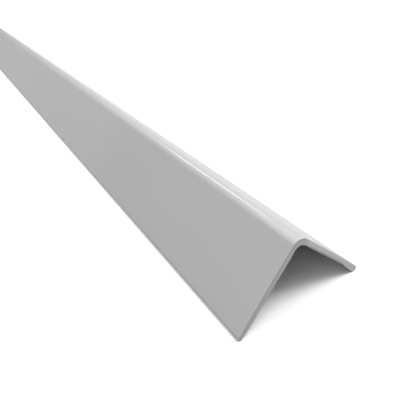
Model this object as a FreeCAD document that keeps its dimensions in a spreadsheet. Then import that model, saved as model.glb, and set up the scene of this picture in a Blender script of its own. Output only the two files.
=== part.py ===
"""Corner guard moulding: rigid plastic angle stock, one extrusion cut square at both ends.

Millimetres. X runs along the stock, Y across it and Z up. The guard stands like a tent, ridge up, on the
inner edges of its two legs, and the origin is on the floor below the middle of the ridge. The outer faces
leave the bend square to each other and are slightly bowed. The inner faces, which are bonded to the wall,
are flat and toe in. Left and right are those of the section as it is seen from the +X end.
"""
import FreeCAD, Part
import enum
import math
import os
import Sketcher

NODE = "corner_guard"

# Alias, value and meaning of each driving size, in millimetres and degrees.
SIZES = (
    ("stock_length", 1000.0, "length between the two square-cut ends"),
    ("leg_width", 50.0, "straight across a leg's outer face, from the sharp corner to the free edge"),
    ("included_angle", 90.0, "angle between the outer faces where they meet in the sharp corner"),
    ("bow_radius", 1000.0, "radius to which the outer face of a leg is bowed"),
    ("wall", 2.8, "thickness of a leg at the bend"),
    ("edge_wall", 2.2, "thickness of a leg at its free edge"),
    ("ridge_radius", 5.3, "radius outside the bend"),
    ("root_radius", 4.0, "radius inside the bend"),
    ("edge_radius", 1.2, "rounding on the outside of each free edge"),
)

# The rounding of a free edge takes no more than this share of the edge's thickness.
LARGEST_EDGE_SHARE = 0.9

POSITION_TOLERANCE = 1e-4


# The sides of the section in drawing order, then the points where its faces would meet if they were sharp.
Side = enum.IntEnum("Side", (
    "LEFT_OUTER", "LEFT_EDGE", "LEFT_INNER", "ROOT_ROUND",
    "RIGHT_INNER", "RIGHT_EDGE", "RIGHT_OUTER", "RIDGE_ROUND",
    "SHARP_RIDGE", "SHARP_ROOT",
), start=0)


class Point(enum.IntEnum):
    """The points of a side, as sketch constraints number them. An arc runs anticlockwise."""

    START = 1
    END = 2
    CENTRE = 3


class Axis(enum.IntEnum):
    """The sketch's own axes: the floor line and the line of symmetry."""

    HORIZONTAL = -1
    VERTICAL = -2


# The corners of the section, each as a side and one of its points.
RIDGE = (Side.SHARP_RIDGE, Point.START)
ROOT = (Side.SHARP_ROOT, Point.START)
LEFT_TIP = (Side.LEFT_OUTER, Point.END)
LEFT_FOOT = (Side.LEFT_INNER, Point.END)
RIGHT_TIP = (Side.RIGHT_OUTER, Point.START)
RIGHT_FOOT = (Side.RIGHT_INNER, Point.START)

# The legs mirror each other and stand on the floor line. Each free edge is square to its leg's outer face,
# and the roundings of the bend run smoothly into the faces.
RULES = (
    ("Coincident", *LEFT_TIP, Side.LEFT_EDGE, Point.START),
    ("Coincident", *LEFT_FOOT, Side.LEFT_EDGE, Point.END),
    ("Coincident", *RIGHT_TIP, Side.RIGHT_EDGE, Point.END),
    ("Coincident", *RIGHT_FOOT, Side.RIGHT_EDGE, Point.START),
    ("Tangent", Side.RIDGE_ROUND, Point.END, Side.LEFT_OUTER, Point.START),
    ("Tangent", Side.RIDGE_ROUND, Point.START, Side.RIGHT_OUTER, Point.END),
    ("Tangent", Side.ROOT_ROUND, Point.END, Side.LEFT_INNER, Point.START),
    ("Tangent", Side.ROOT_ROUND, Point.START, Side.RIGHT_INNER, Point.END),
    ("Symmetric", *LEFT_TIP, *RIGHT_TIP, Axis.VERTICAL),
    ("Symmetric", *LEFT_FOOT, *RIGHT_FOOT, Axis.VERTICAL),
    ("Equal", Side.LEFT_OUTER, Side.RIGHT_OUTER),
    ("PointOnObject", Side.RIDGE_ROUND, Point.CENTRE, Axis.VERTICAL),
    ("PointOnObject", Side.ROOT_ROUND, Point.CENTRE, Axis.VERTICAL),
    ("PointOnObject", *RIDGE, Axis.VERTICAL),
    ("PointOnObject", *RIDGE, Side.LEFT_OUTER),
    ("PointOnObject", *ROOT, Axis.VERTICAL),
    ("PointOnObject", *ROOT, Side.LEFT_INNER),
    ("PointOnObject", *LEFT_FOOT, Axis.HORIZONTAL),
    ("PointOnObject", Side.LEFT_OUTER, Point.CENTRE, Side.LEFT_EDGE),
)

HALF_ANGLE = "Sizes.included_angle / 2 * 1 deg"

# Name, kind and expression of each size that the sheet drives.
DRIVEN = (
    ("leg_width", ("Distance", *RIDGE, *LEFT_TIP), "Sizes.leg_width"),
    ("edge_wall", ("Distance", Side.LEFT_EDGE), "Sizes.edge_wall"),
    ("wall", ("DistanceY", *ROOT, *RIDGE), f"Sizes.wall / sin({HALF_ANGLE})"),
    ("slope", ("DistanceX", *RIDGE, Side.LEFT_OUTER, Point.CENTRE), f"Sizes.bow_radius * cos({HALF_ANGLE})"),
    ("bow_radius", ("Radius", Side.LEFT_OUTER), "Sizes.bow_radius"),
    ("ridge_radius", ("Radius", Side.RIDGE_ROUND), "Sizes.ridge_radius"),
    ("root_radius", ("Radius", Side.ROOT_ROUND), "Sizes.root_radius"),
)


def make_sheet(doc):
    """Put the driving sizes in a spreadsheet, one row each, with an alias to call them by."""
    sheet = doc.addObject("Spreadsheet::Sheet", "Sizes")
    for row, (alias, value, meaning) in enumerate(SIZES, start=1):
        sheet.set(f"A{row}", alias)
        sheet.set(f"B{row}", str(value))
        sheet.set(f"C{row}", meaning)
        sheet.setAlias(f"B{row}", alias)
    doc.recompute()
    return sheet


def origin_plane(body, role):
    """One of the body's own origin planes, by its role."""
    return next(plane for plane in body.Origin.OriginFeatures if plane.Role == role)


def mirrored(corner):
    """The same corner on the other leg."""
    return FreeCAD.Vector(-corner.x, corner.y)


def arc(start, end, radius):
    """Arc that runs anticlockwise from one corner of the section to another."""
    chord = end - start
    to_centre = FreeCAD.Vector(-chord.y, chord.x).normalize()
    centre = (start + end) / 2 + to_centre * math.sqrt(radius ** 2 - chord.Length ** 2 / 4)
    first, last = (math.atan2(corner.y - centre.y, corner.x - centre.x) for corner in (start, end))
    return Part.ArcOfCircle(Part.Circle(centre, FreeCAD.Vector(0, 0, 1), radius), first, last)


def rounding_meets(face, radius):
    """Where a rounding of the bend, centred on the line of symmetry, runs into the left leg's bowed face."""
    rise = math.sqrt((face.Radius - radius) ** 2 - face.Center.x ** 2)
    outward = FreeCAD.Vector(-face.Center.x, rise).normalize()
    return face.Center + outward * face.Radius


def first_outline(sheet):
    """The sides of the section and its two sharp corners, from which the constraints take over."""
    half = math.radians(sheet.included_angle / 2)
    turn = math.asin(sheet.leg_width / 2 / sheet.bow_radius)
    chord = FreeCAD.Vector(-math.sin(half - turn), -math.cos(half - turn))
    inward = FreeCAD.Vector(math.cos(half - 2 * turn), -math.sin(half - 2 * turn))
    ridge = FreeCAD.Vector(0, -chord.y * sheet.leg_width - inward.y * sheet.edge_wall)
    root = ridge - FreeCAD.Vector(0, sheet.wall / math.sin(half))
    tip = ridge + chord * sheet.leg_width
    foot = tip + inward * sheet.edge_wall
    down_leg = (foot - root).normalize()
    ridge_end = rounding_meets(arc(ridge, tip, sheet.bow_radius), sheet.ridge_radius)
    root_end = root + down_leg * (sheet.root_radius * down_leg.y / down_leg.x)
    return [
        arc(ridge_end, tip, sheet.bow_radius),
        Part.LineSegment(tip, foot),
        Part.LineSegment(root_end, foot),
        arc(mirrored(root_end), root_end, sheet.root_radius),
        Part.LineSegment(mirrored(foot), mirrored(root_end)),
        Part.LineSegment(mirrored(foot), mirrored(tip)),
        arc(mirrored(tip), mirrored(ridge_end), sheet.bow_radius),
        arc(mirrored(ridge_end), ridge_end, sheet.ridge_radius),
        Part.Point(ridge),
        Part.Point(root),
    ]


def draw_section(body, sheet):
    """Section across the stock: two mirrored, slightly bowed and tapering legs that stand on the floor."""
    sketch = body.newObject("Sketcher::SketchObject", "Section")
    sketch.AttachmentSupport = [(origin_plane(body, "YZ_Plane"), "")]
    sketch.MapMode = "FlatFace"
    for side in first_outline(sheet):
        sketch.addGeometry(side, isinstance(side, Part.Point))
    for rule in RULES:
        sketch.addConstraint(Sketcher.Constraint(*rule))
    for name, rule, expression in DRIVEN:
        value = sheet.evalExpression(expression)
        index = sketch.addConstraint(Sketcher.Constraint(*rule, value))
        sketch.renameConstraint(index, name)
        sketch.setExpression(f"Constraints.{name}", expression)
    body.Document.recompute()
    return sketch


def extrude(body, section):
    """The section drawn out along X, half the stock's length to each side."""
    pad = body.newObject("PartDesign::Pad", "Extrusion")
    pad.Profile = section
    pad.SideType = "Symmetric"
    pad.setExpression("Length", "Sizes.stock_length")
    body.Document.recompute()
    return pad


def long_edges(feature, section, corners):
    """Names of the edges that run along the stock through the given corners of the section."""
    places = [section.getPoint(*corner) for corner in corners]
    names = []
    for number, edge in enumerate(feature.Shape.Edges, start=1):
        middle = edge.CenterOfMass
        across_and_up = FreeCAD.Vector(middle.y, middle.z)
        on_corner = any(place.isEqual(across_and_up, POSITION_TOLERANCE) for place in places)
        if on_corner and abs(middle.x) < POSITION_TOLERANCE:
            names.append(f"Edge{number}")
    return names


def round_edges(body, name, base, section, corners, radius):
    """Round the long edges at the given corners, with the radius as an expression on the sheet."""
    fillet = body.newObject("PartDesign::Fillet", name)
    fillet.Base = (base, long_edges(base, section, corners))
    fillet.setExpression("Radius", radius)
    body.Document.recompute()
    return fillet


def build_guard(doc, sheet):
    """The whole guard: section, extrusion and eased free edges."""
    body = doc.addObject("PartDesign::Body", "CornerGuard")
    body.Label = NODE
    section = draw_section(body, sheet)
    stock = extrude(body, section)
    round_edges(body, "FreeEdgeRound", stock, section, [LEFT_TIP, RIGHT_TIP],
                f"min(Sizes.edge_radius; {LARGEST_EDGE_SHARE} * Sizes.edge_wall)")
    body.Placement = FreeCAD.Placement()
    doc.recompute()
    return body


def check(doc, body):
    """Stop if a feature failed, or the body isn't one sound solid."""
    for item in doc.Objects:
        if {"Invalid", "Error"} & set(item.State):
            raise RuntimeError(f"{item.Label} failed: {item.State}")
    if body.Shape.isNull() or not body.Shape.isValid() or len(body.Shape.Solids) != 1:
        raise RuntimeError(f"{body.Label} isn't one sound solid")


def main():
    """Build the guard from its sheet, check it and write its file."""
    doc = FreeCAD.newDocument("CornerGuard")
    sheet = make_sheet(doc)
    guard = build_guard(doc, sheet)
    check(doc, guard)
    os.makedirs("parts", exist_ok=True)
    guard.Shape.exportStep(f"parts/{guard.Label}.step")


main()
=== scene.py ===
"""Looks of the corner guard moulding: grey plastic angle stock that stands like a tent on a pale floor.

Metres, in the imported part's frame: X runs along the stock, Y across it and Z up. The photograph shows the
end at -X and the leg at +Y.
"""

import logging
import math
from dataclasses import dataclass, field
from enum import Enum
from typing import Union

import bmesh
import bpy
from mathutils import Matrix, Vector


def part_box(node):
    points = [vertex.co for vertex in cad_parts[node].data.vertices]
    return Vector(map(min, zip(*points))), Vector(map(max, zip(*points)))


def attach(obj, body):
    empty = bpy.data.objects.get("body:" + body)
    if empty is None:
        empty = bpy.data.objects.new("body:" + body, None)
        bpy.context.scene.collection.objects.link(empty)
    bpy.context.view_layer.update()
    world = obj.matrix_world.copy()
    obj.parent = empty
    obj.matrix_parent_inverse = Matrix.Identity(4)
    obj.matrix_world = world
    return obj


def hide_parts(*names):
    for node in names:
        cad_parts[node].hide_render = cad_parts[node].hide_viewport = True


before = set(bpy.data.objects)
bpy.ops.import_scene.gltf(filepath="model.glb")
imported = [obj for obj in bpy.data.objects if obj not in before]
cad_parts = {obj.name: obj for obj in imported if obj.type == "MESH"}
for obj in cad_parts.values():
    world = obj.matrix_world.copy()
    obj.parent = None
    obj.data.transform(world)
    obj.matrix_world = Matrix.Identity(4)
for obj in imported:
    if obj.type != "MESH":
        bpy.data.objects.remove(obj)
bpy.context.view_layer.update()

LOG = logging.getLogger("corner_guard")
NODE = "corner_guard"
BODY = "root"

Term = Union["Wire", float, int]
Colour = tuple[float, float, float]
Triple = tuple[float, float, float]
Span = tuple[float, float]

WHITE = (1.0, 1.0, 1.0, 1.0)
NOISE_MIDDLE = 0.5


class Wire:
    """A node's output that takes part in Python expressions, each of which adds a Math node."""

    def __init__(self, board: "NodeBoard", socket: bpy.types.NodeSocket) -> None:
        """Wrap one output socket of a board's tree."""
        self.board = board
        self.socket = socket

    def __add__(self, other: Term) -> "Wire":
        """This value plus another."""
        return self.board.math("ADD", self, other)

    def __radd__(self, other: Term) -> "Wire":
        """Another value plus this."""
        return self.board.math("ADD", other, self)

    def __sub__(self, other: Term) -> "Wire":
        """This value less another."""
        return self.board.math("SUBTRACT", self, other)

    def __rsub__(self, other: Term) -> "Wire":
        """Another value less this."""
        return self.board.math("SUBTRACT", other, self)

    def __mul__(self, other: Term) -> "Wire":
        """This value times another."""
        return self.board.math("MULTIPLY", self, other)

    def __rmul__(self, other: Term) -> "Wire":
        """Another value times this."""
        return self.board.math("MULTIPLY", other, self)

    def __truediv__(self, other: Term) -> "Wire":
        """This value over another."""
        return self.board.math("DIVIDE", self, other)

    def __rtruediv__(self, other: Term) -> "Wire":
        """Another value over this."""
        return self.board.math("DIVIDE", other, self)

    def __pow__(self, other: Term) -> "Wire":
        """This value to a power."""
        return self.board.math("POWER", self, other)

    def __rpow__(self, other: Term) -> "Wire":
        """Another value to this power."""
        return self.board.math("POWER", other, self)

    def __gt__(self, other: Term) -> "Wire":
        """1 where this value is the greater, otherwise 0."""
        return self.board.math("GREATER_THAN", self, other)

    def __lt__(self, other: Term) -> "Wire":
        """1 where this value is the less, otherwise 0."""
        return self.board.math("LESS_THAN", self, other)

    def __abs__(self) -> "Wire":
        """Size of this value, whatever its sign."""
        return self.board.math("ABSOLUTE", self)

    def at_least(self, other: Term) -> "Wire":
        """The greater of this value and another."""
        return self.board.math("MAXIMUM", self, other)

    def at_most(self, other: Term) -> "Wire":
        """The less of this value and another."""
        return self.board.math("MINIMUM", self, other)

    def root(self) -> "Wire":
        """Square root of this value."""
        return self.board.math("SQRT", self)

    def sign(self) -> "Wire":
        """-1, 0 or 1 by this value's sign."""
        return self.board.math("SIGN", self)


@dataclass(frozen=True)
class Fitting:
    """One node on a board, from which outputs are taken by name."""

    board: "NodeBoard"
    node: bpy.types.Node

    def __getitem__(self, name: str) -> Wire:
        """The named output, ready for an expression."""
        return Wire(self.board, NodeBoard.pick(self.node.outputs, name))


class NodeBoard:
    """Adds nodes to one tree, sets them up and joins their sockets."""

    def __init__(self, tree: bpy.types.NodeTree) -> None:
        """Work on the given tree."""
        self.tree = tree

    @staticmethod
    def pick(sockets: bpy.types.bpy_prop_collection, key: Union[str, int]) -> bpy.types.NodeSocket:
        """Find a socket that is in use.

        Args:
            sockets: A node's inputs or outputs.
            key: The socket's name, or its number among those in use.

        Returns:
            The socket.
        """
        shown = [socket for socket in sockets if socket.enabled]
        if isinstance(key, int):
            return shown[key]
        return next(socket for socket in shown if socket.name == key)

    def node(self, kind: str, settings: Union[dict, None] = None,
             sockets: Union[dict, None] = None) -> Fitting:
        """Add one node.

        Args:
            kind: Blender's name for the type of node.
            settings: Properties of the node, set first because they decide which sockets it has.
            sockets: Values or wires for its inputs, by name or number.

        Returns:
            The node, from which outputs are taken by name.
        """
        node = self.tree.nodes.new(kind)
        for name, value in (settings or {}).items():
            setattr(node, name, value)
        for key, value in (sockets or {}).items():
            socket = self.pick(node.inputs, key)
            if isinstance(value, Wire):
                self.tree.links.new(value.socket, socket)
            else:
                socket.default_value = value
        return Fitting(self, node)

    def math(self, operation: str, *terms: Term) -> Wire:
        """Result of one Math node on the given terms."""
        return self.node("ShaderNodeMath", {"operation": operation}, dict(enumerate(terms)))["Value"]

    def vector(self, x: Term, y: Term, z: Term) -> Wire:
        """Vector of three values."""
        return self.node("ShaderNodeCombineXYZ", None, {"X": x, "Y": y, "Z": z})["Vector"]

    def parts(self, vector: Wire) -> Fitting:
        """The three values of a vector, by the names of the axes."""
        return self.node("ShaderNodeSeparateXYZ", None, {"Vector": vector})

    def scaled(self, vector: Wire, factor: Wire) -> Wire:
        """A vector or a colour times a factor."""
        return self.node("ShaderNodeVectorMath", {"operation": "SCALE"}, {
            "Vector": vector, "Scale": factor})["Vector"]

    def distance(self, place: Wire, spot: Union[Wire, Triple]) -> Wire:
        """How far a place is from a spot."""
        return self.node("ShaderNodeVectorMath", {"operation": "DISTANCE"}, {0: place, 1: spot})["Value"]

    def ease(self, value: Wire, start: float, end: float) -> Wire:
        """Smooth step of a value: 0 up to start, 1 from end on. With start above end, it falls instead."""
        return self.node("ShaderNodeMapRange", {"interpolation_type": "SMOOTHSTEP"},
                         {"Value": value, "From Min": start, "From Max": end})["Result"]

    def noise(self, place: Wire, pitch: Triple, detail: float = 2.0) -> Wire:
        """Smooth noise whose grains have a given size along each axis.

        Args:
            place: Where the noise is read.
            pitch: Size of a grain along X, Y and Z, in metres.
            detail: Number of finer layers on top of it.

        Returns:
            The noise, from 0 to 1 and mostly near its middle.
        """
        scaled = self.node("ShaderNodeVectorMath", {"operation": "DIVIDE"}, {0: place, 1: pitch})["Vector"]
        return self.node("ShaderNodeTexNoise", None, {
            "Vector": scaled, "Scale": 1.0, "Detail": detail})["Fac"]

    def tint(self, factor: Wire, low: Union[Wire, Colour], high: Colour) -> Wire:
        """Colour that goes from low to high as the factor goes from 0 to 1."""
        start = low if isinstance(low, Wire) else (*low, 1.0)
        return self.node("ShaderNodeMix", {"data_type": "RGBA"},
                         {"Factor": factor, "A": start, "B": (*high, 1.0)})["Result"]


class MaterialBoard(NodeBoard):
    """The nodes of one material."""

    def __init__(self, name: str) -> None:
        """Start an empty material of that name."""
        self.material = bpy.data.materials.new(name)
        self.material.use_nodes = True
        self.material.node_tree.nodes.clear()
        super().__init__(self.material.node_tree)

    def place(self) -> Wire:
        """Where a point of the piece is, in the part's frame."""
        return self.node("ShaderNodeTexCoord")["Object"]

    def relief(self, height: Wire, depth: float, below: Union[Wire, None] = None) -> Wire:
        """Normal of a surface with fine relief.

        Args:
            height: Height of the relief, from 0 to 1.
            depth: What a height of 1 measures, in metres.
            below: Normal of the relief that this one lies on.

        Returns:
            The normal.
        """
        sockets = {"Height": height, "Distance": depth}
        if below is not None:
            sockets["Normal"] = below
        return self.node("ShaderNodeBump", None, sockets)["Normal"]

    def plastic(self, base: Wire, roughness: Wire, refraction: float, normal: Wire) -> Wire:
        """Shader of a plastic surface.

        Args:
            base: Its colour.
            roughness: How far it scatters what it mirrors, from 0 to 1.
            refraction: Its index of refraction.
            normal: The normal of its relief.

        Returns:
            The shader.
        """
        return self.node("ShaderNodeBsdfPrincipled", None, {
            "Base Color": base, "Roughness": roughness, "IOR": refraction, "Normal": normal})["BSDF"]

    def finish(self, surface: Wire) -> bpy.types.Material:
        """Join the shader to the material's output and hand the material over."""
        self.node("ShaderNodeOutputMaterial", None, {"Surface": surface})
        return self.material


class SweepBoard(NodeBoard):
    """The nodes of one modifier, with the values that its named inputs get."""

    def __init__(self, name: str) -> None:
        """Start a tree that takes geometry in and gives geometry out."""
        super().__init__(bpy.data.node_groups.new(name, "GeometryNodeTree"))
        self.values: dict[str, object] = {}
        self.tree.interface.new_socket("Geometry", in_out="INPUT", socket_type="NodeSocketGeometry")
        self.tree.interface.new_socket("Geometry", in_out="OUTPUT", socket_type="NodeSocketGeometry")
        self.entry = self.node("NodeGroupInput")

    def size(self, name: str, value: object, kind: str = "NodeSocketFloat") -> Wire:
        """Give the tree a named input.

        Args:
            name: What the input is called.
            value: What the modifier sets it to.
            kind: Blender's name for the type of socket.

        Returns:
            The input inside the tree.
        """
        item = self.tree.interface.new_socket(name, in_out="INPUT", socket_type=kind)
        self.values[item.identifier] = value
        return self.entry[name]

    def attribute(self, name: str, kind: str) -> Wire:
        """Value of a named attribute of the given kind."""
        return self.node("GeometryNodeInputNamedAttribute", {"data_type": kind}, {
            "Name": name})["Attribute"]

    def keep(self, geometry: Wire, name: str, kind: str, value: Wire) -> Wire:
        """The geometry with a value kept on its points under a name."""
        return self.node("GeometryNodeStoreNamedAttribute", {"data_type": kind, "domain": "POINT"},
                         {"Geometry": geometry, "Name": name, "Value": value})["Geometry"]

    def apply(self, piece: bpy.types.Object) -> None:
        """Run the tree on a piece and leave the result as its plain mesh."""
        modifier = piece.modifiers.new(self.tree.name, "NODES")
        modifier.node_group = self.tree
        for identifier, value in self.values.items():
            modifier[identifier] = value
        depsgraph = bpy.context.evaluated_depsgraph_get()
        mesh = bpy.data.meshes.new_from_object(
            piece.evaluated_get(depsgraph), preserve_all_data_layers=True, depsgraph=depsgraph)
        piece.modifiers.remove(modifier)
        blank, piece.data = piece.data, mesh
        mesh.name = piece.name
        bpy.data.meshes.remove(blank)


class CutEnd(Enum):
    """The two cut ends of the stock, by the sign of their X."""

    NEAR = -1
    FAR = 1

    def holds(self, along: Wire) -> Wire:
        """1 on this end's half of the stock, otherwise 0."""
        return along * self.value > 0.0


class Leg(Enum):
    """The two legs as the near end shows them, by the sign of their Y."""

    LEFT = 1
    RIGHT = -1


class MarkKind(Enum):
    """What a saw leaves on the rim of a cut, by the way that the rim moves."""

    NICK = -1
    BURR = 1


class RimSide(Enum):
    """The two sides of a leg's rim, by whether they face away from the middle or towards it."""

    OUTER = 1
    INNER = -1


@dataclass(frozen=True)
class CutMark:
    """One flaw on the rim of a cut end, where the section is that far across and up."""

    kind: MarkKind
    end: CutEnd
    side: RimSide
    across: float
    up: float
    reach: float
    size: float
    depth: float

    def distance(self, board: NodeBoard, parts: Fitting) -> Wire:
        """How far a point, given by its parts, is from this flaw across and up."""
        return board.distance(board.vector(0.0, parts["Y"], parts["Z"]), (0.0, self.across, self.up))


@dataclass(frozen=True)
class InnerRim:
    """The inner rim of one leg at a cut end, above a height: how far it is raised and how it is eased.

    It sets in over a span from the middle and over a rise, on the side that is turned in, and it is raised in
    full over a share of its depth.
    """

    end: CutEnd
    leg: Leg
    low: float
    burr: float
    ease: float
    depth: float
    rise: float = 0.003
    from_middle: Span = (0.0025, 0.006)
    turned_in: Span = (0.0, -0.5)
    full_share: float = 0.5

    def extent(self, board: NodeBoard, parts: Fitting, facing: Fitting) -> Wire:
        """Find where this rim is.

        Args:
            board: The nodes to add to.
            parts: Place of a point, by axis.
            facing: Outward direction of the section there, by axis.

        Returns:
            1 on this rim, easing to 0 round it.
        """
        inside = board.ease(facing["Y"] * self.leg.value, *self.turned_in)
        across = board.ease(parts["Y"] * self.leg.value, *self.from_middle)
        above = board.ease(parts["Z"], self.low, self.low + self.rise)
        return across * above * inside * self.end.holds(parts["X"])


@dataclass(frozen=True)
class ExtrudedSkin:
    """Smooth semi-gloss skin of the grey plastic, with the faint lines that the die leaves along it.

    A pitch is the size of a pattern's grains along X, Y and Z, and a depth that of its relief. A share is
    what the pattern adds to the way from the darkest grey to the palest, and a haze what it adds to the
    roughness. The streaks that rubbing leaves set in as their own noise, and the clouds', rises over a span.
    """

    colour: Colour = (0.44, 0.44, 0.44)
    spread: float = 0.045
    roughness: float = 0.14
    refraction: float = 1.52
    line_pitch: Triple = (1.3, 0.0011, 0.0011)
    line_depth: float = 0.0000004
    line_share: float = 0.2
    line_haze: float = 0.03
    cloud_pitch: Triple = (0.11, 0.022, 0.022)
    cloud_share: float = 0.8
    cloud_haze: float = 0.09
    streak_pitch: Triple = (0.09, 0.0007, 0.0007)
    streak_span: Span = (0.66, 0.76)
    streak_clouds: Span = (0.48, 0.62)
    streak_share: float = 0.12
    streak_haze: float = 0.04
    peel_pitch: Triple = (0.0022, 0.0015, 0.0015)
    peel_depth: float = 0.0000015
    wave_pitch: Triple = (0.13, 0.035, 0.035)
    wave_depth: float = 0.00004

    def material(self) -> bpy.types.Material:
        """Make the skin's material.

        Returns:
            The material.
        """
        board = MaterialBoard("grey_pvc_skin")
        place = board.place()
        lines = board.noise(place, self.line_pitch, detail=3.0)
        clouds = board.noise(place, self.cloud_pitch, detail=3.0)
        peel = board.noise(place, self.peel_pitch)
        waves = board.noise(place, self.wave_pitch, detail=1.0)
        streaks = board.ease(board.noise(place, self.streak_pitch, detail=1.0), *self.streak_span)
        streaks = streaks * board.ease(clouds, *self.streak_clouds)

        shade = lines * self.line_share + clouds * self.cloud_share + streaks * self.streak_share
        darkest, palest = (tuple(level * part for part in self.colour)
                           for level in (1 - self.spread, 1 + self.spread))
        base = board.tint(shade, darkest, palest)
        roughness = (self.roughness + (clouds - NOISE_MIDDLE) * self.cloud_haze
                     + (lines - NOISE_MIDDLE) * self.line_haze + streaks * self.streak_haze)
        normal = board.relief(waves, self.wave_depth)
        normal = board.relief(lines, self.line_depth, normal)
        normal = board.relief(peel, self.peel_depth, normal)
        return board.finish(board.plastic(base, roughness, self.refraction, normal))


@dataclass(frozen=True)
class SawnEnd:
    """Matt face of a saw cut: score lines and torn grains, paler on one leg, with a dark rim on the other.

    The cut turns pale, and a painted shade line in the near one sets in, over a span across it. The dark rim,
    painted shade of the arris, sets in over a span of depth under the skin, and the painted shade in a nick
    over a span in shares of the nick's reach.
    """

    colour: Colour = (0.395, 0.391, 0.382)
    darkest: float = 0.88
    spread: float = 0.24
    pale_colour: Colour = (0.51, 0.506, 0.494)
    pale_span: Span = (-0.001, -0.006)
    # Painted shade: the dark rim along the cut's outer edge, on the leg that isn't pale, stands for the
    # arris's shade.
    rim_shade_colour: Colour = (0.335, 0.331, 0.323)
    rim_shade_span: Span = (0.0012, 0.0006)
    rim_wander: float = 0.0004
    roughness: float = 0.62
    refraction: float = 1.5
    score_angle: float = math.radians(24)
    score_pitch: Triple = (0.01, 0.012, 0.00035)
    score_depth: float = 0.00003
    score_share: float = 0.6
    grain_pitch: Triple = (0.001, 0.0006, 0.0006)
    grain_depth: float = 0.000018
    grain_haze: float = 0.25
    # Painted shade: a dark line at a depth under the skin, near the pale leg's tip on the near cut.
    shade_line_depth: float = 0.0019
    shade_line_width: float = 0.0004
    shade_line_span: Span = (-0.0225, -0.0275)
    shade_line_share: float = 0.6
    # Painted shade: each nick's hollow is painted darker, over a span in shares of its reach.
    nick_shade: float = 0.2
    nick_shade_span: Span = (1.3, 0.3)

    def material(self, section: "GuardSection", marks: tuple[CutMark, ...]) -> bpy.types.Material:
        """Make the cut's material.

        Args:
            section: The section that is cut, which says where its outer faces are.
            marks: The flaws on its rim, round whose nicks shade is painted.

        Returns:
            The material.
        """
        board = MaterialBoard("grey_pvc_sawn")
        place = board.place()
        turned = board.node("ShaderNodeMapping", None, {
            "Vector": place, "Rotation": (self.score_angle, 0.0, 0.0)})["Vector"]
        scores = board.noise(turned, self.score_pitch, detail=3.0)
        grains = board.noise(place, self.grain_pitch, detail=3.0)
        parts = board.parts(place)
        under = section.depth(abs(parts["Y"]), parts["Z"]) + (grains - NOISE_MIDDLE) * self.rim_wander
        pale = board.ease(parts["Y"], *self.pale_span)
        # Painted shade along the outer arris, on the leg that isn't pale.
        rim = board.ease(under, *self.rim_shade_span) * (1 - pale)
        # Painted shade line near the pale leg's tip on the near cut.
        shade_line = board.ease(abs(under - self.shade_line_depth), self.shade_line_width, 0.0) * self.shade_line_share
        shade_line = shade_line * board.ease(parts["Y"], *self.shade_line_span) * CutEnd.NEAR.holds(parts["X"])

        shade = self.darkest + (scores * self.score_share + grains * (1 - self.score_share)) * self.spread
        # Painted shade in each nick's hollow.
        for nick in (mark for mark in marks if mark.kind is MarkKind.NICK):
            start, full = (share * nick.reach for share in self.nick_shade_span)
            shaded = board.ease(nick.distance(board, parts), start, full) * nick.end.holds(parts["X"])
            shade = shade * (1 - shaded * self.nick_shade)
        plain = board.tint(pale, self.colour, self.pale_colour)
        # The painted rim shade and the painted shade line darken the cut's colour here.
        rim_shaded = board.tint(rim.at_least(shade_line), plain, self.rim_shade_colour)
        base = board.scaled(rim_shaded, shade)
        roughness = self.roughness + (grains - NOISE_MIDDLE) * self.grain_haze
        normal = board.relief(scores, self.score_depth)
        normal = board.relief(grains, self.grain_depth, normal)
        return board.finish(board.plastic(base, roughness, self.refraction, normal))


@dataclass(frozen=True)
class FloorPaint:
    """Plain pale floor that keeps the guard's shadow, and that runs into a white backdrop far away.

    It has one level of grey for light that it throws back, one as it is seen and one as gloss mirrors it. The
    spans are distances from the guard's middle over which it dims and turns white.
    """

    colour: float = 0.41
    seen: float = 0.97
    mirrored: float = 0.46
    dim_share: float = 0.5
    dim_span: Span = (2.5, 7.0)
    white_span: Span = (1.2, 2.4)
    mottle: float = 0.02
    mottle_pitch: Triple = (0.05, 0.05, 0.05)

    def material(self) -> bpy.types.Material:
        """Make the floor's material.

        Returns:
            The material.
        """
        board = MaterialBoard("pale_floor")
        place = board.place()
        path = board.node("ShaderNodeLightPath")
        by_camera = path["Is Camera Ray"]
        by_gloss = path["Is Glossy Ray"].at_least(path["Is Transmission Ray"])
        level = self.colour + by_camera * (self.seen - self.colour) + by_gloss * (self.mirrored - self.colour)
        far = board.distance(place, (0.0, 0.0, 0.0))
        dim = 1 - board.ease(far, *self.dim_span) * (1 - self.dim_share)
        mottle = 1 + (board.noise(place, self.mottle_pitch, detail=3.0) - NOISE_MIDDLE) * self.mottle
        level = level * dim * mottle
        colour = board.node("ShaderNodeCombineColor", None, {
            "Red": level, "Green": level, "Blue": level})["Color"]
        paint = board.node("ShaderNodeBsdfDiffuse", None, {"Color": colour})["BSDF"]
        white = board.node("ShaderNodeEmission", None, {"Color": WHITE, "Strength": 1.0})["Emission"]
        blank = by_camera * board.ease(far, *self.white_span)
        shader = board.node("ShaderNodeMixShader", None, {0: blank, 1: paint, 2: white})["Shader"]
        return board.finish(shader)


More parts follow.
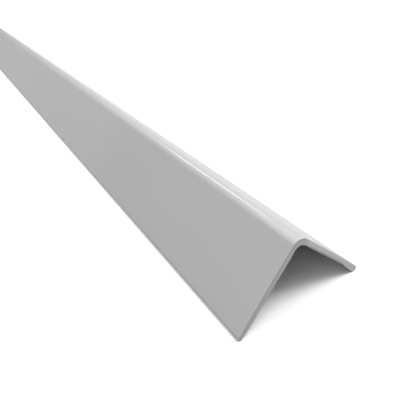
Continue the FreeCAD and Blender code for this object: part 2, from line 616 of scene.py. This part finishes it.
@dataclass(frozen=True)
class GuardSection:
    """Section across the stock: two mirrored legs, bowed outside and flat inside, that taper and toe in."""

    leg_width: float = 0.050
    included_angle: float = math.radians(90)
    bow_radius: float = 1.0
    wall: float = 0.0028
    edge_wall: float = 0.0022
    ridge_radius: float = 0.00534
    root_radius: float = 0.004
    edge_radius: float = 0.0012
    foot_radius: float = 0.0002
    round_steps: int = 14
    bow_steps: int = 24

    @property
    def half_angle(self) -> float:
        """Angle of an outer face from the upright, where it would meet the other in a sharp corner."""
        return self.included_angle / 2

    @property
    def edge_angle(self) -> float:
        """Angle that the outer face's outward direction has at the free edge, from level."""
        return self.half_angle - 2 * math.asin(self.leg_width / 2 / self.bow_radius)

    @property
    def ridge(self) -> Vector:
        """Sharp corner of the outer faces, across and up."""
        chord = (self.half_angle + self.edge_angle) / 2
        return Vector((0.0, self.leg_width * math.cos(chord) + self.edge_wall * math.sin(self.edge_angle)))

    @property
    def bow_centre(self) -> Vector:
        """Centre of the outer bow of the leg at +Y, across and up."""
        return self.ridge - self.toward(self.half_angle) * self.bow_radius

    @property
    def ridge_centre(self) -> Vector:
        """Centre of the rounding outside the bend, across and up."""
        reach = self.bow_radius - self.ridge_radius
        return Vector((0.0, self.bow_centre.y + math.sqrt(reach ** 2 - self.bow_centre.x ** 2)))

    def depth(self, across: Wire, up: Wire) -> Wire:
        """Depth of a point of the cut under the outer skin.

        Args:
            across: How far the point is from the middle, on either leg.
            up: How high it is.

        Returns:
            The depth.
        """
        level = up - self.ridge_centre.y
        out = across * math.cos(self.half_angle) + level * math.sin(self.half_angle)
        down = across * math.sin(self.half_angle) - level * math.cos(self.half_angle)
        bend, leg = down.at_most(0.0), down.at_least(0.0)
        return self.ridge_radius - (out * out + bend * bend).root() - leg * leg / (2 * self.bow_radius)

    @staticmethod
    def toward(angle: float) -> Vector:
        """Direction at an angle from level, across and up."""
        return Vector((math.cos(angle), math.sin(angle)))

    def arc(self, centre: Vector, radius: float, start: float, end: float, steps: int) -> list[Vector]:
        """Points of an arc.

        Args:
            centre: Centre of the arc, across and up.
            radius: Radius of the arc.
            start: Angle of the first point, from level.
            end: Angle of the last point.
            steps: Number of steps between the two.

        Returns:
            The points, in order.
        """
        return [centre + self.toward(start + (end - start) * step / steps) * radius
                for step in range(steps + 1)]

    def half_ring(self) -> list[Vector]:
        """Follow the section from the top of the ridge round the leg at +Y to the top of the root.

        Returns:
            The points of the roundings and of the bow, across and up.
        """
        edge, bow_centre = self.edge_angle, self.bow_centre
        foot = bow_centre + self.toward(edge) * (self.bow_radius - self.edge_wall)
        root = self.ridge - Vector((0.0, self.wall / math.sin(self.half_angle)))
        lean = math.atan2(foot.x - root.x, root.y - foot.y)

        bow_start = math.acos(-bow_centre.x / (self.bow_radius - self.ridge_radius))
        bow_end = edge + math.asin(self.edge_radius / (self.bow_radius - self.edge_radius))
        edge_centre = bow_centre + self.toward(bow_end) * (self.bow_radius - self.edge_radius)
        inwards = self.toward(edge + math.pi / 2) + self.toward(lean)
        foot_centre = foot + inwards * (2 * self.foot_radius / inwards.length_squared)
        root_centre = root - Vector((0.0, self.root_radius / math.sin(lean)))
        return [
            *self.arc(self.ridge_centre, self.ridge_radius, math.pi / 2, bow_start, self.round_steps),
            *self.arc(bow_centre, self.bow_radius, bow_start, bow_end, self.bow_steps)[1:],
            *self.arc(edge_centre, self.edge_radius, bow_end, edge - math.pi / 2, self.round_steps)[1:],
            *self.arc(foot_centre, self.foot_radius, edge - math.pi / 2, lean - math.pi, self.round_steps),
            *self.arc(root_centre, self.root_radius, lean, math.pi / 2, self.round_steps),
        ]

    def outline(self, name: str) -> bpy.types.Mesh:
        """Outline of the section as a ring of edges.

        Args:
            name: Name of the mesh.

        Returns:
            The mesh.
        """
        half = self.half_ring()
        ring = half + [Vector((-point.x, point.y)) for point in half[-2:0:-1]]
        mesh = bpy.data.meshes.new(name)
        mesh.from_pydata([(0.0, *point) for point in ring],
                         [(start, (start + 1) % len(ring)) for start in range(len(ring))], [])
        return mesh


@dataclass
class GuardStock:
    """The guard: the section drawn along the stock, with rims that the saw left slightly worn.

    The rims wander over a ragged depth, and they stay sharp at the feet up to a height. A face is a cut where
    it looks along the stock by more than a share.
    """

    section: GuardSection = field(default_factory=GuardSection)
    skin: ExtrudedSkin = field(default_factory=ExtrudedSkin)
    sawn: SawnEnd = field(default_factory=SawnEnd)
    spacing: float = 0.0005
    rings_each_way: int = 60
    grading: float = 3.0
    cut_facing: float = 0.9
    arris: float = 0.00022
    raggedness: float = 0.00010
    ragged_pitch: Triple = (0.02, 0.0012, 0.0012)
    ragged_depth: float = 0.0005
    sharp_foot: float = 0.0008
    rims: tuple[InnerRim, ...] = (
        InnerRim(CutEnd.NEAR, Leg.LEFT, low=0.0, burr=0.0006, ease=0.0006, depth=0.004),
        InnerRim(CutEnd.NEAR, Leg.RIGHT, low=0.007, burr=0.0004, ease=0.0015, depth=0.004),
    )
    marks: tuple[CutMark, ...] = (
        CutMark(MarkKind.NICK, CutEnd.NEAR, RimSide.OUTER, 0.0155, 0.0218, 0.0011, 0.00035, 0.0006),
        CutMark(MarkKind.NICK, CutEnd.NEAR, RimSide.OUTER, 0.0233, 0.0136, 0.0013, 0.00040, 0.0007),
        CutMark(MarkKind.BURR, CutEnd.NEAR, RimSide.INNER, -0.0092, 0.0242, 0.0016, 0.00025, 0.0005),
        CutMark(MarkKind.BURR, CutEnd.NEAR, RimSide.INNER, -0.0019, 0.0313, 0.0014, 0.00030, 0.0005),
        CutMark(MarkKind.BURR, CutEnd.NEAR, RimSide.INNER, -0.0310, 0.0018, 0.0130, 0.00110, 0.0005),
        CutMark(MarkKind.NICK, CutEnd.FAR, RimSide.OUTER, -0.0193, 0.0178, 0.0014, 0.00035, 0.0006),
        CutMark(MarkKind.BURR, CutEnd.FAR, RimSide.INNER, 0.0172, 0.0160, 0.0050, 0.00035, 0.0005),
    )

    def build(self) -> bpy.types.Object:
        """Make the guard in place of its plain solid.

        Returns:
            The finished piece.
        """
        piece = bpy.data.objects.new("guard_stock", self.section.outline("guard_section"))
        bpy.context.scene.collection.objects.link(piece)
        self.sweep().apply(piece)
        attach(piece, BODY)
        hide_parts(NODE)
        return piece

    def sweep(self) -> SweepBoard:
        """Lay out the nodes that draw the section along the stock.

        Returns:
            The nodes, with the values of their inputs.
        """
        board = SweepBoard("guard_sweep")
        low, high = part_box(NODE)
        length = board.size("Length", high.x - low.x)
        spacing = board.size("Outline Spacing", self.spacing)
        rings = board.size("Rings Each Way", self.rings_each_way, "NodeSocketInt")
        grading = board.size("Ring Grading", self.grading)
        arris = board.size("Arris", self.arris)
        ragged = board.size("Raggedness", self.raggedness)
        skin = board.size("Skin", self.skin.material(), "NodeSocketMaterial")
        sawn = board.size("Sawn End", self.sawn.material(self.section, self.marks), "NodeSocketMaterial")

        profile = self.profile(board, spacing)
        path = self.path(board, length, rings, grading)
        stock = board.node("GeometryNodeCurveToMesh", None, {
            "Curve": path, "Profile Curve": profile, "Fill Caps": True})["Mesh"]
        stock = board.node("GeometryNodeFlipFaces", None, {"Mesh": stock})["Mesh"]
        stock = self.wear(board, stock, arris, ragged)

        facing = board.node("GeometryNodeInputNormal")["Normal"]
        along = abs(board.parts(facing)["X"])
        stock = board.node("GeometryNodeSetShadeSmooth", {"domain": "FACE"}, {
            "Geometry": stock, "Shade Smooth": along < self.cut_facing})["Geometry"]
        stock = board.node("GeometryNodeRealizeInstances", None, {"Geometry": stock})["Geometry"]
        stock = board.node("GeometryNodeSetMaterial", None, {
            "Geometry": stock, "Material": skin})["Geometry"]
        stock = board.node("GeometryNodeSetMaterial", None, {
            "Geometry": stock, "Selection": along > self.cut_facing, "Material": sawn})["Geometry"]
        board.node("NodeGroupOutput", None, {"Geometry": stock})
        return board

    def profile(self, board: SweepBoard, spacing: Wire) -> Wire:
        """Divide the section's long runs.

        Args:
            board: The nodes to add to.
            spacing: Distance of points on the runs.

        Returns:
            The section as a curve that is laid down flat for the sweep.
        """
        curve = board.node("GeometryNodeMeshToCurve", None, {"Mesh": board.entry["Geometry"]})["Curve"]
        place = board.node("GeometryNodeInputPosition")["Position"]
        following = board.node("GeometryNodeOffsetPointInCurve", None, {"Offset": 1})["Point Index"]
        ahead = board.node("GeometryNodeFieldAtIndex", {"data_type": "FLOAT_VECTOR", "domain": "POINT"}, {
            "Value": place, "Index": following})["Value"]
        cuts = board.distance(place, ahead) / spacing
        curve = board.node("GeometryNodeSubdivideCurve", None, {"Curve": curve, "Cuts": cuts})["Curve"]

        tangent = board.node("GeometryNodeInputTangent")["Tangent"]
        outward = board.node("ShaderNodeVectorMath", {"operation": "CROSS_PRODUCT"}, {
            0: (1.0, 0.0, 0.0), 1: tangent})["Vector"]
        curve = board.keep(curve, "outward", "FLOAT_VECTOR", outward)
        parts = board.parts(place)
        flat = board.vector(0.0 - parts["Y"], 0.0 - parts["Z"], 0.0)
        return board.node("GeometryNodeSetPosition", None, {"Geometry": curve, "Position": flat})["Geometry"]

    def path(self, board: SweepBoard, length: Wire, rings: Wire, grading: Wire) -> Wire:
        """Line along the stock, with points that crowd towards both ends.

        Args:
            board: The nodes to add to.
            length: Length of the stock.
            rings: Number of points on each half.
            grading: Power by which the points crowd.

        Returns:
            The line, with the distance from the nearer end kept on it.
        """
        line = board.node("GeometryNodeCurvePrimitiveLine", {"mode": "POINTS"}, {
            "Start": (-1.0, 0.0, 0.0), "End": (1.0, 0.0, 0.0)})["Curve"]
        line = board.node("GeometryNodeResampleCurve", {"mode": "COUNT"}, {
            "Curve": line, "Count": rings * 2 + 1})["Curve"]
        number = board.node("GeometryNodeInputIndex")["Index"]
        step = (number - rings) / rings
        from_end = length / 2 * (1 - abs(step)).at_least(0.0) ** grading
        line = board.keep(line, "from_end", "FLOAT", from_end)
        along = step.sign() * (length / 2 - board.attribute("from_end", "FLOAT"))
        return board.node("GeometryNodeSetPosition", None, {
            "Geometry": line, "Position": board.vector(along, 0.0, 0.0)})["Geometry"]

    def wear(self, board: SweepBoard, stock: Wire, arris: Wire, ragged: Wire) -> Wire:
        """Ease the rims of both cuts, raise their inner sides and add what the saw left on them.

        Args:
            board: The nodes to add to.
            stock: The sharp stock.
            arris: Radius that eases the rim of a cut.
            ragged: How far the rim wanders.

        Returns:
            The worn stock.
        """
        place = board.node("GeometryNodeInputPosition")["Position"]
        parts = board.parts(place)
        from_end = board.attribute("from_end", "FLOAT")
        outward = board.attribute("outward", "FLOAT_VECTOR")
        facing = board.parts(outward)

        raised = 0.0
        for rim in self.rims:
            here = rim.extent(board, parts, facing)
            arris = arris + here * (rim.ease - self.arris)
            raised = raised + here * rim.burr * board.ease(from_end, rim.depth, rim.full_share * rim.depth)
        left = (arris - from_end).at_least(0.0)
        inset = arris - (arris * arris - left * left).at_least(0.0).root() - raised
        wander = board.noise(place, self.ragged_pitch)
        inset = inset + ragged * wander * board.ease(from_end, self.ragged_depth, 0.0)
        inset = inset * board.ease(parts["Z"], 0.0, self.sharp_foot)
        for mark in self.marks:
            strength = board.ease(mark.distance(board, parts), mark.reach, 0.0)
            strength = strength * board.ease(from_end, mark.depth, 0.0) * mark.end.holds(parts["X"])
            strength = strength * (facing["Y"] * parts["Y"] * mark.side.value > 0.0)
            inset = inset - strength * (mark.size * mark.kind.value)
        shift = board.scaled(outward, (0.0 - inset).at_most(parts["Z"]))
        return board.node("GeometryNodeSetPosition", None, {"Geometry": stock, "Offset": shift})["Geometry"]


@dataclass(frozen=True)
class Softbox:
    """Soft rectangular lamp whose long side lies along X, as far as it isn't twisted round.

    One that isn't mirrored lights the guard and leaves no image in its gloss.
    """

    name: str
    place: Triple
    aim: Triple
    size: tuple[float, float]
    radiance: float
    twist: float = 0.0
    mirrored: bool = True

    def hang(self) -> bpy.types.Object:
        """Put the lamp up, out of the camera's sight.

        Returns:
            The lamp.
        """
        lamp = bpy.data.lights.new(self.name, "AREA")
        lamp.shape = "RECTANGLE"
        lamp.size, lamp.size_y = self.size
        lamp.energy = self.radiance * math.pi * self.size[0] * self.size[1]
        hung = bpy.data.objects.new(self.name, lamp)
        back = (Vector(self.place) - Vector(self.aim)).normalized()
        along = (Vector((1, 0, 0)) - back * back.x).normalized()
        turn = Matrix((along, back.cross(along), back)).transposed().to_4x4()
        hung.matrix_world = Matrix.Translation(self.place) @ turn @ Matrix.Rotation(self.twist, 4, "Z")
        hung.visible_camera, hung.visible_glossy = False, self.mirrored
        bpy.context.scene.collection.objects.link(hung)
        return hung


@dataclass
class Studio:
    """Pale floor and plain soft light round the guard."""

    floor_paint: FloorPaint = field(default_factory=FloorPaint)
    floor_radius: float = 12.0
    floor_sides: int = 128
    fill: float = 0.362
    softboxes: tuple[Softbox, ...] = (
        Softbox("overhead_softbox", (0.0, 0.3, 4.0), (0.0, 0.3, 0.0), (6.6, 6.6), 1.17),
        Softbox("key_softbox", (-1.6, -1.5, 3.7), (-0.45, 0.0, 0.0), (1.3, 1.3), 14.1, mirrored=False),
        Softbox("side_softbox", (-0.7, -3.2, 2.4), (-0.7, 0.0, 0.0), (5.4, 1.8), 3.35),
        Softbox("strip_softbox", (1.215, -0.575, 1.327), (-0.43, 0.0, 0.035), (0.73, 0.2), 6.3,
                twist=math.radians(29.5)),
        Softbox("low_softbox", (-1.7, 2.4, 0.7), (-0.45, 0.0, 0.0), (1.6, 1.2), 0.85),
        Softbox("far_panel", (4.6, 1.25, 0.8), (-0.2, 0.0, 0.0), (1.8, 1.8), 0.19),
    )

    def build(self) -> list[bpy.types.Object]:
        """Lay the floor, light it and fill the shadows.

        Returns:
            The floor and the lamps.
        """
        bpy.context.scene.view_settings.view_transform = "Standard"
        bpy.context.scene.world = self.backdrop()
        return [self.floor(), *(softbox.hang() for softbox in self.softboxes)]

    def backdrop(self) -> bpy.types.World:
        """Make the world, which is white to the camera and a dim fill to all else.

        Returns:
            The world.
        """
        world = bpy.data.worlds.new("studio_fill")
        world.use_nodes = True
        world.node_tree.nodes.clear()
        board = NodeBoard(world.node_tree)
        by_camera = board.node("ShaderNodeLightPath")["Is Camera Ray"]
        background = board.node("ShaderNodeBackground", None, {
            "Color": WHITE, "Strength": self.fill + by_camera * (1 - self.fill)})["Background"]
        board.node("ShaderNodeOutputWorld", None, {"Surface": background})
        return world

    def floor(self) -> bpy.types.Object:
        """Lay the round floor that the guard stands on.

        Returns:
            The floor.
        """
        disc = bmesh.new()
        bmesh.ops.create_circle(disc, cap_ends=True, radius=self.floor_radius,
                                segments=self.floor_sides)
        mesh = bpy.data.meshes.new("studio_floor")
        disc.to_mesh(mesh)
        disc.free()
        mesh.materials.append(self.floor_paint.material())
        floor = bpy.data.objects.new("studio_floor", mesh)
        bpy.context.scene.collection.objects.link(floor)
        return floor


@dataclass
class PhotoCamera:
    """Camera at the photograph's place, whose frame was cropped off the middle of the lens."""

    eye: Triple = (-0.60602, 0.09105, 0.14579)
    aim: Triple = (-0.41156, -0.01641, 0.01800)
    roll: float = math.radians(-7.541)
    lens: float = 39.206
    sensor: float = 36.0
    nearest: float = 0.005
    shift: tuple[float, float] = (-0.05125, -0.04875)

    def build(self) -> bpy.types.Object:
        """Stand the camera up and make it the scene's own.

        Returns:
            The camera.
        """
        lens = bpy.data.cameras.new("photo_camera")
        lens.sensor_width, lens.lens = self.sensor, self.lens
        lens.shift_x, lens.shift_y = self.shift
        lens.clip_start = self.nearest
        camera = bpy.data.objects.new("photo_camera", lens)
        view = (Vector(self.aim) - Vector(self.eye)).to_track_quat("-Z", "Y").to_matrix().to_4x4()
        camera.matrix_world = Matrix.Translation(self.eye) @ view @ Matrix.Rotation(self.roll, 4, "Z")
        bpy.context.scene.collection.objects.link(camera)
        bpy.context.scene.camera = camera
        return camera


def main() -> None:
    """Build the guard, the studio and the camera, and report each piece."""
    logging.basicConfig(level=logging.INFO, format="%(name)s: %(message)s")
    camera = PhotoCamera().build()
    LOG.info("%s with a %.1f mm lens", camera.name, camera.data.lens)
    guard = GuardStock().build()
    LOG.info("%s: %d points, %d faces", guard.name, len(guard.data.vertices), len(guard.data.polygons))
    for item in Studio().build():
        LOG.info("%s", item.name)


if __name__ == "__main__":
    main()
